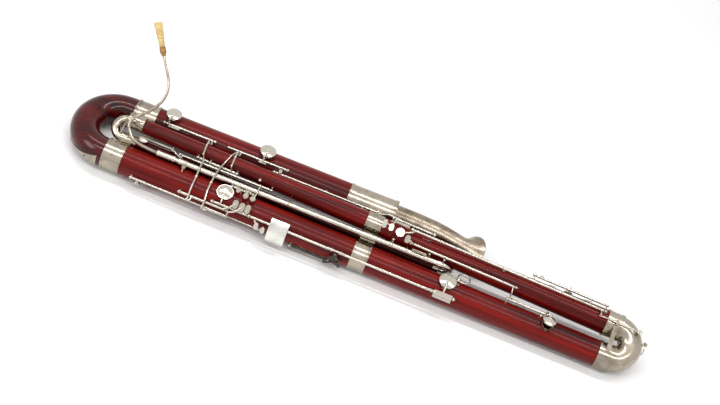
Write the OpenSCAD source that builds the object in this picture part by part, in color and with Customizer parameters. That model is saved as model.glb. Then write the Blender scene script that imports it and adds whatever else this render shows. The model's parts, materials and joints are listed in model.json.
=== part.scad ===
// Contrabassoon laid on its back: four wooden joints, three bows, a downward bell,
// a tuning slide with crook and reed, and its sprung keys.
// Millimetres, +Z up. X runs along the bass joint toward the bottom bow, +Y toward the
// bass joint. The floor is z = 0 and the origin is below the middle of the instrument.

/* [Tubes] */
// outside radius of the bass joint
bass_r = 30.5; // [29.5:0.5:30.5]
// outside radius of the third joint at its top
third_r_top = 30.5; // [29.5:0.5:30.5]
// outside radius of the third joint at its foot
third_r_foot = 27.5; // [26.5:0.5:27.5]
// outside radius of the second joint at its top
second_r_top = 14.5; // [13.5:0.5:14.5]
// outside radius of the second joint at its foot
second_r_foot = 25.8; // [24.8:0.5:25.8]
// outside radius of the first joint
first_r = 11; // [10:0.5:11]
// outside radius of the tuning slide
slide_r = 5.7; // [5.5:0.1:5.9]

/* [Bell] */
// outside radius of the bell at its socket
bell_r = 24; // [23:0.5:25]
// radius of the bell rim
rim_r = 36.5; // [34:0.5:36.5]
// wall thickness of the bell
bell_wall = 1.6; // [1.2:0.1:2.4]

/* [Keys] */
// radius of the steel pivot rods
rod_r = 1.2; // [1:0.1:1.4]
// outside radius of the key tubes
tube_r = 2.6; // [2.3:0.1:2.8]
// radius of the ball heads on the posts
ball_r = 3.4; // [3.1:0.1:3.5]
// radius of a key arm
arm_r = 1.8; // [1.5:0.1:2]
// radial running clearance of a pivot
fit = 0.06; // [0.04:0.01:0.09]

/* [Hidden] */
$fn = 48;
shift_y = -9;
bass_y = 66 + shift_y;
axis_z = 32.5;
third_y = -72.5 + shift_y;
third_z = 30.9;
third_skew = 0.8;
third_fall = 0.2;
second_y = -4.6 + shift_y;
second_z = 63.4;
second_skew = 1.573;
second_fall = 0.489;
first_y = -22.8 + shift_y;
first_z = 31;
first_skew = -0.258;
first_fall = 2.009;
octave_y = -25 + shift_y;
octave_z = 47.9;
slide_y = -45 + shift_y;
slide_z = 66.8;
bore_r = rod_r + fit;
end_gap = ball_r + 0.3;
pad_t = 3.2;
third_x0 = -490.3;
third_x1 = 539.2;
second_x0 = -480.5;
second_x1 = 537.2;

// pivot lines: start, end, distance from the joint's axis, angle from the top
bass_lines = [[-450.3, -338.7, 37.5, 35], [-307.7, -177.5, 37.5, 35], [-202.3, 37.3, 38.2, 54]];
third_lines = [[-358.2, -256.2, 36, 67.5], [-290, -211, 35.8, 55.5], [-211, -32.3, 35.8, 55.5],
    [-14, 183.3, 35.8, 55.5], [183.3, 230, 35.8, 55.5], [-114.6, -30.9, 33.5, 115],
    [332, 427, 36, -27], [-266, -244.2, 37, -22], [-244.2, -220.5, 37, -22]];
second_lines = [[-353.7, -326.5, 22.5, 85], [-326.5, -267.9, 22.5, 85], [105.1, 527, 30.5, 2],
    [111, 342, 29.3, 55], [60.8, 150.3, 29, -27], [370.6, 529, 32, -45]];
octave_lines = [[-389, -190, 17.6, 2]];
edge_line = [-460.4, -186, 35.2, 90];
edge_rod_r = 1.5;
edge_bore = edge_rod_r + fit;

// tone holes: place, angle from the top, chimney radius, hole radius, chimney top
bass_holes = [[-438.7, 0, 13, 10.5, 38], [-229.5, 0, 14, 11.5, 38], [0, 92, 10.5, 8, 36]];
third_holes = [[-273, 11.5, 14, 11, 32.6], [207, 4.4, 15, 12, 31.6], [424, 11, 12, 9.5, 32],
    [-22, 88, 9.5, 7, 31.8], [-447, 113, 6, 4, 33]];
second_holes = [[450, -92, 9, 7, 27.4]];
first_holes = [[-469, 0, 7, 4, 16.6]];

function third_r(x) = third_r_top
    + (third_r_foot - third_r_top) * (x - third_x0) / (third_x1 - third_x0);
function second_r(x) = second_r_top
    + (second_r_foot - second_r_top) * (x - second_x0) / (second_x1 - second_x0);
function pt(x, dist, th) = [x, -dist * sin(th), dist * cos(th)];
function unit(v) = v / norm(v);
function mix(a, b, k) = a + (b - a) * k;

module in_floor() translate([0, shift_y, 0]) children();
module in_bass() translate([0, bass_y, axis_z]) children();
module in_third() translate([0, third_y, third_z]) rotate([0, third_fall, -third_skew]) children();
module in_second()
    translate([0, second_y, second_z]) rotate([0, second_fall, -second_skew]) children();
module in_first() translate([0, first_y, first_z]) rotate([0, first_fall, -first_skew]) children();
module in_octave() translate([0, octave_y, octave_z]) children();
module in_slide() translate([0, slide_y, slide_z]) children();
module at_angle(x, th) translate([x, 0, 0]) rotate([th, 0, 0]) children();

module along_x(x0, x1, r0, r1)
    translate([x0, 0, 0]) rotate([0, 90, 0]) cylinder(h = x1 - x0, r1 = r0, r2 = r1);

module line_x(x0, x1, dist, th, r)
    translate(pt(x0, dist, th)) rotate([0, 90, 0]) cylinder(h = x1 - x0, r = r);

// straight round bar between two points
module bar(a, b, r) {
    v = b - a;
    translate(a) rotate([0, acos(v.z / norm(v)), atan2(v.y, v.x)]) cylinder(h = norm(v), r = r);
}

// ball at a bend, turned so that its poles lie inside the bars
module knuckle(a, b, c, r) {
    t1 = unit(b - a);
    t2 = norm(c - b) < 0.001 ? t1 : unit(c - b);
    p = unit(t1 + t2);
    o = unit(cross(p, abs(p.x) < 0.8 ? [1, 0, 0] : [0, 1, 0]));
    q = cross(p, o);
    multmatrix([[o.x, q.x, p.x, b.x], [o.y, q.y, p.y, b.y], [o.z, q.z, p.z, b.z], [0, 0, 0, 1]])
        sphere(r = r);
}

// round bar through a list of points, starting just off the first one
module arm(pts, r = arm_r, turned = false) {
    for (i = [0 : len(pts) - 2]) bar(i == 0 ? pts[0] + 0.9 * unit(pts[1] - pts[0]) : pts[i], pts[i + 1], r);
    for (i = [1 : len(pts) - 1])
        if (turned) knuckle(pts[i - 1], pts[i], i < len(pts) - 1 ? pts[i + 1] : pts[i], r * 1.24);
        else translate(pts[i]) sphere(r = r * 1.24);
}

// flat finger touch with round ends, long way along its own y
module touch(x, th, dist, wide, long, t = 2.2) at_angle(x, th) translate([0, 0, dist]) {
    translate([-wide / 2, -(long - wide) / 2, -t / 2]) cube([wide, long - wide + 0.001, t]);
    for (s = [-1, 1]) translate([0, s * (long - wide) / 2, -t / 2])
        cylinder(h = t, r = wide / 2 - 0.2);
}

// domed key cup, open below for its pad
module cup(x, th, base, r, high = 6, lip = 0) at_angle(x, th) translate([0, 0, base]) {
    rise = high - 2.8;
    dome = (pow(r - 0.9 + lip, 2) + rise * rise) / (2 * rise);
    difference() {
        union() {
            cylinder(h = 2.8, r = r);
            intersection() {
                translate([0, 0, 2.8 + rise - dome]) sphere(r = dome);
                translate([0, 0, 2.6]) cylinder(h = rise + 1, r = r - 0.9);
            }
            translate([0, 0, high - 0.5]) cylinder(h = 1.4, r = r * 0.3);
        }
        translate([0, 0, -1]) cylinder(h = 3.2, r = r - 1.2);
    }
}

module pad(x, th, base, r) at_angle(x, th) translate([0, 0, base]) cylinder(h = pad_t, r = r - 1.3);

module post(x, dist, th, wood) at_angle(x, th) {
    translate([0, 0, wood - 4]) cylinder(h = dist - wood + 4, r = 1.7);
    translate([0, 0, wood - 0.8]) cylinder(h = 1.8, r = 3.1);
    translate([0, 0, dist]) sphere(r = ball_r);
}

module key_tube(x0, x1, dist, th, r = tube_r) line_x(x0, x1, dist, th, r);
module key_bore(x0, x1, dist, th, r = bore_r) line_x(x0 - 4, x1 + 4, dist, th, r);

module hole_cuts(holes, wood) for (h = holes) at_angle(h[0], h[1]) {
    translate([0, 0, wood - 5]) cylinder(h = 20, r = h[2] + 0.06);
    cylinder(h = wood, r = h[3]);
}

module rim_rings(holes, wood) for (h = holes) at_angle(h[0], h[1]) difference() {
    translate([0, 0, wood - 5]) cylinder(h = h[4] - wood + 5, r = h[2]);
    cylinder(h = 60, r = h[3]);
}

// hollow tube lofted through rings: [x, y, z, radius, wall, direction]
module loft_tube(rings, n = 40) {
    m = len(rings);
    side = [for (g = rings) unit(cross(g[5], [0, 1, 0]))];
    pts = concat(
        [for (i = [0 : m - 1]) for (j = [0 : n - 1]) let (g = rings[i], a = j * 360 / n,
            u = side[i], w = unit(cross(g[5], side[i])))
            [g[0], g[1], g[2]] + g[3] * (cos(a) * u + sin(a) * w)],
        [for (i = [0 : m - 1]) for (j = [0 : n - 1]) let (g = rings[i], a = j * 360 / n,
            u = side[i], w = unit(cross(g[5], side[i])))
            [g[0], g[1], g[2]] + (g[3] - g[4]) * (cos(a) * u + sin(a) * w)]);
    k = m * n;
    faces = concat(
        [for (i = [0 : m - 2]) for (j = [0 : n - 1]) let (q = (j + 1) % n)
            each [[i * n + j, (i + 1) * n + j, (i + 1) * n + q], [i * n + j, (i + 1) * n + q, i * n + q]]],
        [for (i = [0 : m - 2]) for (j = [0 : n - 1]) let (q = (j + 1) % n)
            each [[k + i * n + j, k + (i + 1) * n + q, k + (i + 1) * n + j],
                [k + i * n + j, k + i * n + q, k + (i + 1) * n + q]]],
        [for (j = [0 : n - 1]) let (q = (j + 1) % n) each [[j, q, k + q], [j, k + q, k + j]]],
        [for (j = [0 : n - 1]) let (q = (j + 1) % n, e = (m - 1) * n)
            each [[e + j, k + e + q, e + q], [e + j, k + e + j, k + e + q]]]);
    polyhedron(points = pts, faces = faces, convexity = 6);
}

// which node to show

// wooden joints and bows

module bass_joint() color([0.42, 0.05, 0.03]) in_bass() difference() {
    union() {
        along_x(-470.9, -42.6, bass_r, bass_r);
        along_x(-497, -470, bass_r - 2.5, bass_r - 2.5);
        along_x(-43, 20, bass_r - 2.5, bass_r - 2.5);
    }
    along_x(-498, 21, 16.5, 20);
    hole_cuts(bass_holes, bass_r);
}

module third_joint() color([0.42, 0.05, 0.03]) in_third() difference() {
    union() {
        along_x(third_x0, third_x1, third_r_top, third_r_foot);
        along_x(-522, third_x0 + 1, third_r_top - 2.5, third_r_top - 2.5);
        along_x(third_x1 - 1, 561, third_r_foot - 2.5, third_r_foot - 2.5);
    }
    along_x(-523, 562, 13, 10);
    for (h = third_holes) at_angle(h[0], h[1]) {
        translate([0, 0, third_r(h[0]) - 5]) cylinder(h = 20, r = h[2] + 0.06);
        cylinder(h = 30, r = h[3]);
    }
}

module second_joint() color([0.42, 0.05, 0.03]) in_second() difference() {
    union() {
        along_x(second_x0, second_x1, second_r_top, second_r_foot);
        along_x(-504, second_x0 + 1, second_r_top - 2, second_r_top - 2);
        along_x(second_x1 - 1, 560, second_r_foot - 2.5, second_r_foot - 2.5);
    }
    along_x(-505, 561, 5, 9);
    for (h = second_holes) at_angle(h[0], h[1]) {
        translate([0, 0, second_r(h[0]) - 5]) cylinder(h = 20, r = h[2] + 0.06);
        cylinder(h = 30, r = h[3]);
    }
}

module first_joint() color([0.36, 0.04, 0.03]) in_first() difference() {
    union() {
        along_x(-481, 172, first_r, first_r);
        along_x(-509, -480, first_r - 1.8, first_r - 1.8);
        along_x(171, 184, first_r - 1.8, first_r - 1.8);
    }
    along_x(-510, 185, 3.5, 4.5);
    translate([0, octave_y - first_y, 0]) rotate([0, -first_fall, first_skew]) at_angle(-469, 0)
        translate([0, 0, octave_z - first_z + 6]) {
            cylinder(h = 20, r = first_holes[0][2] + 0.06);
            translate([0, 0, -6]) cylinder(h = 10, r = first_holes[0][3]);
        }
}

bow_x = -533;
bow_span = 65.5;
module large_bow() color([0.38, 0.04, 0.03]) in_floor() translate([bow_x, 0.5, axis_z]) difference() {
    union() {
        rotate([0, 0, 90]) rotate_extrude(angle = 180) translate([bow_span, 0]) circle(r = 30);
        for (s = [-1, 1]) translate([0, s * bow_span, 0]) along_x(0, s > 0 ? 14 : 2.2, 30.4, 30.4);
        translate([0, bow_span, 0]) along_x(10, 33, 28.4, 28.4);
        translate([0, -bow_span, 0]) along_x(0, 8.4, 27.6, 27.6);
    }
    rotate([0, 0, 90]) rotate_extrude(angle = 180) translate([bow_span, 0]) circle(r = 15);
    for (s = [-1, 1]) translate([0, s * bow_span, 0]) along_x(-1, 35, 14.6, 14.6);
}

// sheet-metal guard on the outer side of the large bow
module bow_guard() color([0.78, 0.75, 0.68]) in_floor() translate([bow_x, 0.5, axis_z]) difference() {
    rotate([0, 0, 180]) rotate_extrude(angle = 86) translate([bow_span, 0]) difference() {
        circle(r = 31.6);
        circle(r = 30.05);
        translate([-70, -40]) square([78, 80]);
    }
    // only the lower outer edge is covered: everything above a slanted plane is left off
    translate([-7, 0, 13.5]) rotate([0, -20, 0]) translate([-130, -110, 0]) cube([190, 140, 60]);
    translate([-7, 0, -13.5]) rotate([0, 8, 0]) translate([-130, -110, -60]) cube([190, 140, 46]);
}

module screw_head(r = 2.2, h = 1.2) difference() {
    translate([0, 0, -5]) {
        cylinder(h = 5 + h, r = r);
    }
    translate([-r - 1, -0.35, h - 0.6]) cube([2 * r + 2, 0.7, 1]);
}

module body_screws() color([0.7, 0.67, 0.6]) {
    in_floor() translate([bow_x, 0.5, axis_z]) for (a = [[216, 119], [250, 96]])
        rotate([0, 0, a[0]]) translate([bow_span, 0, 0]) rotate([0, a[1], 0]) translate([0, 0, 31.6])
            screw_head();
    in_third() for (s = [[-512, 40], [-512, -60], [556, 40], [556, -30]]) at_angle(s[0], s[1])
        translate([0, 0, s[0] < 0 ? 32.1 : 28.6]) screw_head(1.8, 0.8);
    in_second() at_angle(553, 72) translate([0, 0, 28.2]) screw_head(1.8, 0.8);
}

// metal ferrules, bands and bows
module bass_top_ferrule() color([0.78, 0.75, 0.68]) in_bass() difference() {
    union() {
        along_x(-519, -470.9, 31.2, 31.2);
        along_x(-519, -515, 32.4, 32.4);
        along_x(-474.9, -470.9, 32.2, 32.2);
    }
    along_x(-519.1, -494.9, 28.6, 28.6);
    along_x(-496, -470, bass_r - 2.4, bass_r - 2.4);
}

module third_top_ferrule() color([0.78, 0.75, 0.68]) in_third() difference() {
    union() {
        along_x(-530.5, third_x0, 31.4, 31.4);
        along_x(-530.5, -526, 32.6, 32.6);
        along_x(third_x0 - 4, third_x0, 32.4, 32.4);
    }
    along_x(-531, third_x0 + 1, third_r_top - 2.4, third_r_top - 2.4);
}

small_bow_x = -515;
module small_bow() color([0.78, 0.75, 0.68]) in_floor() {
    m = [9.5, 67.8];
    w = [-25.1, 48.3];
    mid = (m + w) / 2;
    span = norm(m - w) / 2;
    tilt = atan2(m.y - w.y, m.x - w.x);
    difference() {
        union() {
            translate([small_bow_x, mid.x, mid.y]) rotate([tilt, 0, 0]) rotate([0, 0, 90])
                rotate_extrude(angle = 180) translate([span, 0]) circle(r = 9);
            translate([0, m.x, m.y]) {
                along_x(small_bow_x, -481, 15.7, 15.7);
                along_x(small_bow_x, -511, 16.8, 16.8);
                along_x(-484.5, -481, 16.6, 16.6);
            }
            translate([0, w.x, w.y]) {
                along_x(small_bow_x, -481.5, 12.2, 12.2);
                along_x(small_bow_x, -511, 13.2, 13.2);
                along_x(-485, -481.5, 13, 13);
            }
        }
        translate([small_bow_x, mid.x, mid.y]) rotate([tilt, 0, 0]) rotate([0, 0, 90])
            rotate_extrude(angle = 180) translate([span, 0]) circle(r = 5);
        translate([0, m.x, m.y]) along_x(small_bow_x - 1, -500, 4.8, 4.8);
        translate([0, m.x, m.y]) along_x(-505.5, -480, 13.2, 13.2);
        translate([0, w.x, w.y]) along_x(small_bow_x - 1, -500, 4.8, 4.8);
        translate([0, first_y - shift_y, first_z]) rotate([0, first_fall, -first_skew])
            along_x(-510, -480, first_r - 1.7, first_r - 1.7);
    }
}

module bow_brace() color([0.8, 0.77, 0.7]) in_floor()
{
    bar([-519, 6, 76.6], [-517, -8, 70.5], 1.3);
    bar([-517.2, -7.6, 70.8], [-519, -23, 57.4], 1.2);
    translate([-517, -8, 70.5]) sphere(r = 2.1);
}

foot_x = 568;
foot_eye = [629.3, -38, 59];
foot_m = [-20.2, 58.5];
foot_b = [-80.4, 28.9];
module bottom_bow() color([0.78, 0.75, 0.68]) in_floor() {
    mid = (foot_m + foot_b) / 2;
    span = norm(foot_m - foot_b) / 2;
    tilt = atan2(foot_m.y - foot_b.y, foot_m.x - foot_b.x);
    difference() {
        union() {
            translate([foot_x, mid.x, mid.y]) rotate([tilt, 0, 0]) rotate([0, 0, -90])
                rotate_extrude(angle = 180) translate([span, 0]) circle(r = 25);
            translate([0, second_y - shift_y, second_z]) rotate([0, second_fall, -second_skew]) {
                along_x(second_x1, 572, 27.2, 27.2);
                along_x(second_x1, 542, 28.4, 28.4);
                along_x(567.5, 572, 28.2, 28.2);
            }
            translate([0, third_y - shift_y, third_z]) rotate([0, third_fall, -third_skew]) {
                along_x(third_x1, 574, 28, 28);
                along_x(third_x1, 544, 28.9, 28.9);
                along_x(569.5, 574, 28.8, 28.8);
            }
            // lug of the loose ring
            bar(foot_eye - [16, 0, 0], foot_eye - [2, 0, 0], 2);
            translate(foot_eye + [0, 2, 0]) rotate([90, 0, 0]) cylinder(h = 4, r = 3.8);
            // water-key nipple
            translate([0, second_y - shift_y, second_z]) rotate([0, second_fall, -second_skew])
                at_angle(606, 28) translate([0, 0, 14]) cylinder(h = 14.6, r = 3.2);
        }
        translate([foot_x, mid.x, mid.y]) rotate([tilt, 0, 0]) rotate([0, 0, -90])
            rotate_extrude(angle = 180) translate([span, 0]) circle(r = 13);
        translate(foot_eye + [0, 5, 0]) rotate([90, 0, 0]) cylinder(h = 10, r = 2.1);
        translate([0, foot_m.x, foot_m.y]) along_x(555, foot_x + 1, 12.7, 12.7);
        translate([0, foot_b.x, foot_b.y]) along_x(555, foot_x + 1, 12.7, 12.7);
        translate([0, second_y - shift_y, second_z]) rotate([0, second_fall, -second_skew]) {
            along_x(530, 561, second_r_foot - 2.4, second_r_foot - 2.4);
            at_angle(606, 28) translate([0, 0, 5]) cylinder(h = 30, r = 1.5);
        }
        translate([0, third_y - shift_y, third_z]) rotate([0, third_fall, -third_skew])
            along_x(530, 562, third_r_foot - 2.4, third_r_foot - 2.4);
    }
}

// flat strip tying the two foot ferrules together
module bottom_brace() color([0.8, 0.77, 0.7]) in_floor() {
    tilt = atan2(foot_m.y - foot_b.y, foot_m.x - foot_b.x);
    mid = (foot_m + foot_b) / 2;
    translate([556, mid.x, mid.y]) rotate([tilt, 0, 0]) translate([-4.5, -29, 26.9])
        cube([9, 62, 1.8]);
}

module bell_socket() color([0.78, 0.75, 0.68]) in_bass() difference() {
    union() {
        along_x(-42.6, 63, 31, 31);
        along_x(-42.6, -37.5, 32.2, 32.2);
        along_x(55.5, 63, 32, 32);
        along_x(24, 27, 31.7, 31.7);
    }
    along_x(-43, 21, bass_r - 2.4, bass_r - 2.4);
    along_x(20, 64, bell_r + 0.1, bell_r + 0.1);
    at_angle(0, 92) translate([0, 0, 20]) cylinder(h = 20, r = bass_holes[2][2] + 0.06);
}

// ring centres run from the socket round to the rim; each ring names its own direction
module bell() color([0.8, 0.77, 0.7]) in_floor() {
    rim_dir = unit([0.75, 0.25, -0.61]);
    start = [1, 0, 0];
    plan = [[26, 66, 32.5, bell_r, 0], [110, 65.5, 32.6, bell_r, 0], [149, 63.3, 33, bell_r - 0.5, 0.05],
        [168, 60.9, 33.5, bell_r - 1, 0.12], [183, 57.6, 34.5, bell_r - 1.8, 0.25],
        [196, 54, 35.6, bell_r - 2.6, 0.4], [206, 51.2, 36.6, bell_r - 3.2, 0.58],
        [214, 49.4, 37, bell_r - 3.1, 0.74], [220.5, 48.5, 36.7, bell_r - 1.6, 0.86],
        [225.6, 48.2, 36, mix(bell_r, rim_r, 0.12), 0.94], [229.8, 48.2, 35.2, mix(bell_r, rim_r, 0.34), 0.98],
        [233.1, 48.4, 34.5, mix(bell_r, rim_r, 0.58), 1], [235.7, 48.6, 33.9, mix(bell_r, rim_r, 0.8), 1],
        [237.5, 48.8, 33.5, mix(bell_r, rim_r, 0.95), 1], [238.6, 48.9, 33.2, rim_r, 1],
        [239.7, 49, 32.9, rim_r, 1]];
    loft_tube([for (g = plan) [g[0], g[1], g[2], g[3], bell_wall,
        unit([mix(start.x, rim_dir.x, g[4]), mix(start.y, rim_dir.y, g[4]),
            mix(start.z, rim_dir.z, g[4])])]], 56);
}

module middle_bands() color([0.78, 0.75, 0.68]) {
    in_third() difference() {
        union() {
            along_x(8, 42, 29.9, 29.9);
            along_x(8, 11.5, 31, 31);
            along_x(38.5, 42, 31, 31);
        }
        along_x(7, 43, third_r(8) + 0.05, third_r(43) + 0.1);
    }
    in_second() difference() {
        union() {
            along_x(11.2, 44.9, 21.4, 21.4);
            along_x(26.5, 30.5, 22.3, 22.3);
        }
        along_x(10, 46, second_r(10) + 0.05, second_r(46) + 0.1);
    }
    in_first() difference() {
        along_x(12, 44, 12.2, 12.2);
        along_x(11, 45, first_r + 0.05, first_r + 0.05);
    }
}

// stays joining the bands of the four joints
module tube_bridge() color([0.74, 0.66, 0.45]) in_floor() for (x = [15, 34]) {
    bar([x, -14.6, 45.8], [x, -17.6, 39.9], 2.6);
    bar([x, -44, 31], [x, -33.6, 30.4], 2.6);
    bar([x, 12.6, 55.4], [x, 39, 44.1], 3);
}

// tuning slide and small fittings over it
slide_end = 184;
module slide_tube() color([0.8, 0.77, 0.7]) in_slide() difference() {
    drop = [22.9, -42.2];
    reach = norm(drop) / 2;
    tilt = atan2(drop.y, drop.x);
    union() {
        along_x(-385, slide_end, slide_r, slide_r);
        along_x(-385, -376, slide_r + 1, slide_r + 1);
        along_x(27, 33, slide_r + 1, slide_r + 1);
        along_x(176, slide_end, slide_r + 1.1, slide_r + 1.1);
        translate([slide_end, drop.x / 2, drop.y / 2]) rotate([tilt, 0, 0]) rotate([0, 0, -90])
            rotate_extrude(angle = 180) translate([reach, 0]) circle(r = slide_r - 0.1);
        translate([0, drop.x, drop.y]) along_x(172.3, slide_end, first_r, first_r);
    }
    along_x(-386, slide_end + 0.5, 4.66, 4.66);
    translate([slide_end, drop.x / 2, drop.y / 2]) rotate([tilt, 0, 0]) rotate([0, 0, -90])
        rotate_extrude(angle = 180) translate([reach, 0]) circle(r = 4);
    translate([0, drop.x, drop.y]) along_x(172, slide_end + 0.05, first_r - 1.5, first_r - 1.5);
}

module slide_inner() color([0.8, 0.77, 0.7]) in_slide() difference() {
    union() {
        along_x(-425, -300, 4.6, 4.6);
        along_x(-431, -393, 6.2, 6.2);
        along_x(-431, -427, 7, 7);
        along_x(-397, -393, 7, 7);
    }
    along_x(-410, -299, 3.7, 3.7);
    along_x(-432, -409, 3.92, 3.92);
}

module slide_supports() color([0.8, 0.77, 0.7]) in_slide() {
    // clamp band with its tab, near the mouth of the slide
    difference() {
        union() {
            along_x(-375, -366, slide_r + 1.2, slide_r + 1.2);
            translate([-374, -13.5, -1.5]) cube([7, 9, 2.4]);
            bar([-370.5, -12.5, -0.5], [-370.5, -19, -7.6], 2);
        }
        along_x(-386, -360, slide_r + 0.04, slide_r + 0.04);
    }
    // saddles standing on the first joint
    for (x = [-150, 70, 105]) difference() {
        union() {
            along_x(x, x + 5, slide_r + 1, slide_r + 1);
            bar([x + 2.5, 0, 0], [x + 2.5, 45 - 4.6 - second_r(x) - 0.0275 * x + 1.2, -3], 2);
        }
        along_x(x - 1, x + 6, slide_r + 0.04, slide_r + 0.04);
    }
    // rectangular clip with posts
    translate([0, 2, 6.9]) {
        difference() {
            translate([118, -4.5, -3]) cube([31, 9, 3.6]);
            translate([121, -2, -4]) cube([25, 4, 6]);
            translate([100, -2, -6.9]) rotate([0, 90, 0]) cylinder(h = 60, r = slide_r + 0.04);
        }
        translate([129, -4, 0.4]) cube([14, 3.4, 2.2]);
    }
    for (x = [152, 184]) difference() {
        union() {
            along_x(x, x + 4, slide_r + 1, slide_r + 1);
            bar([x + 2, 0, 0], [x + 2, 2, 14], 1.6);
            translate([x + 2, 2, 14]) sphere(r = 2.6);
        }
        along_x(x - 1, x + 6, slide_r + 0.04, slide_r + 0.04);
    }
    // knob on its stem
    difference() {
        union() {
            along_x(72, 79, slide_r + 1.01, slide_r + 1.01);
            bar([75.5, 1, 4], [75.5, 4, 13], 1.5);
            translate([75.5, 4, 13.5]) sphere(r = 3.2);
        }
        along_x(60, 90, slide_r + 0.04, slide_r + 0.04);
    }
}

// crook: centre line given as distance along x and rise across the view plane
crook_lean = 43;
function crook(x, rise) = [x, slide_y + rise * cos(crook_lean), slide_z + rise * sin(crook_lean)];
crook_plan = [[-410, 0], [-427.8, 0], [-441.5, 0.1], [-454.2, 1.1], [-467.5, 2.2], [-479.8, 5.6],
    [-490.5, 10.8], [-498, 18.8], [-503.8, 27.5], [-505, 36], [-503.4, 44], [-498.6, 51.5], [-490, 59.6],
    [-480.8, 68.6], [-471.4, 79.6], [-464.1, 92], [-459, 104.6], [-457.2, 117.6], [-458.5, 130.2],
    [-462.7, 142.4], [-470.2, 155.6], [-479.2, 168.9], [-487.4, 182.2], [-495.6, 195.1]];
function crook_at(t) = let (m = len(crook_plan) - 1, i = min(floor(t * m), m - 1), f = t * m - i,
    a = crook_plan[max(i - 1, 0)], b = crook_plan[i], c = crook_plan[i + 1],
    d = crook_plan[min(i + 2, m)])
    0.5 * (2 * b + (c - a) * f + (2 * a - 5 * b + 4 * c - d) * f * f + (3 * b - a - 3 * c + d) * f * f * f);

module bocal() color([0.82, 0.8, 0.74]) {
    steps = 56;
    loft_tube([for (i = [0 : steps]) let (t = i / steps, q = crook_at(t),
        e = 0.004, p0 = crook_at(max(t - e, 0)), p1 = crook_at(min(t + e, 1)),
        d = unit(crook(p1.x, p1.y) - crook(p0.x, p0.y)), p = crook(q.x, q.y))
        [p.x, p.y, p.z, mix(3.85, 2.7, t), 0.8, d]], 24);
}

reed_at = crook(-495.6, 195.1);
reed_dir = unit(crook(-526.2, 245.3) - reed_at);
module in_reed() translate(reed_at) rotate([0, acos(reed_dir.z), atan2(reed_dir.y, reed_dir.x)])
    rotate([0, 0, 0]) children();

module reed_blades() color([0.85, 0.75, 0.5]) in_reed() {
    for (s = [-1, 1]) translate([s * 0.35, 0, 0]) difference() {
        translate([0, 0, 8]) rotate([0, 0, 0]) linear_extrude(height = 51, scale = [0.18, 1.85])
            intersection() {
                circle(r = 5.2);
                translate([s > 0 ? 0 : -6, -6]) square([6, 12]);
            }
        translate([0, 0, 7]) cylinder(h = 10, r = 3.2);
    }
}

module reed_binding() color([0.75, 0.6, 0.3]) in_reed() {
    difference() {
        union() {
            translate([0, 0, -10]) cylinder(h = 12, r = 4.6);
            translate([0, 0, -2]) cylinder(h = 10, r1 = 7, r2 = 6.2);
            translate([0, 0, -6]) cylinder(h = 4.5, r1 = 5, r2 = 7);
            translate([0, 0, 8]) cylinder(h = 1.4, r = 5.9);
        }
        translate([0, 0, -11]) cylinder(h = 14.5, r = 3.35);
        translate([0, 0, 2]) cylinder(h = 9, r = 3.2);
        translate([0, 0, 7.9]) cylinder(h = 4, r = 5.6);
    }
}

// palm rest: curved plate on an adjustable stem
module hand_rest() color([0.86, 0.86, 0.84]) in_third() {
    at_angle(-146, 70) {
        difference() {
            translate([0, 0, 9]) rotate([0, 90, 0]) translate([0, 0, -19]) cylinder(h = 38, r = 40);
            translate([0, 0, 7.6]) rotate([0, 90, 0]) translate([0, 0, -25]) cylinder(h = 50, r = 38.6);
            translate([-30, -60, -60]) cube([60, 120, 98]);
        }
        translate([0, 0, 20]) cylinder(h = 27.5, r = 3.2);
        translate([0, 0, third_r(-146) - 0.8]) cylinder(h = 3, r = 7);
        translate([0, 0, 46]) cylinder(h = 3.6, r = 3.6);
    }
}

strap_x = 228;
strap_high = third_r(strap_x) + 10;
module at_strap() in_third() at_angle(strap_x, -12) translate([0, 0, strap_high]) rotate([0, 0, 50])
    children();
module strap_eye() color([0.8, 0.77, 0.7]) at_strap() difference() {
    union() {
        translate([0, 0, -14]) cylinder(h = 12, r = 2);
        translate([0, 0, -10.8]) cylinder(h = 1.8, r = 4.6);
        translate([0, 2, 0]) rotate([90, 0, 0]) cylinder(h = 4, r = 4);
    }
    translate([0, 5, 0]) rotate([90, 0, 0]) cylinder(h = 10, r = 2.1);
}

ring_r = 13;
module strap_ring() color([0.8, 0.77, 0.7]) at_strap() translate([ring_r, 0, 0])
    rotate_extrude() translate([ring_r, 0]) circle(r = 1.5);

// posts and pivot rods
module bass_posts() color([0.8, 0.77, 0.7]) in_bass() {
    for (g = bass_lines) for (x = [g[0], g[1]]) post(x, g[2], g[3], x > -45 ? 31 : bass_r);
    post(-88.7, 31.8, 54, bass_r);
}

module third_posts() color([0.8, 0.77, 0.7]) in_third() {
    for (g = third_lines) for (x = [g[0], g[1]]) post(x, g[2], g[3], third_r(x));
    difference() {
        for (x = [edge_line[0], edge_line[1]]) post(x, edge_line[2], edge_line[3], third_r(x));
        line_x(-500, -150, edge_line[2], edge_line[3], edge_bore);
    }
    post(408, 29.6, -27, third_r(408));
}

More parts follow.
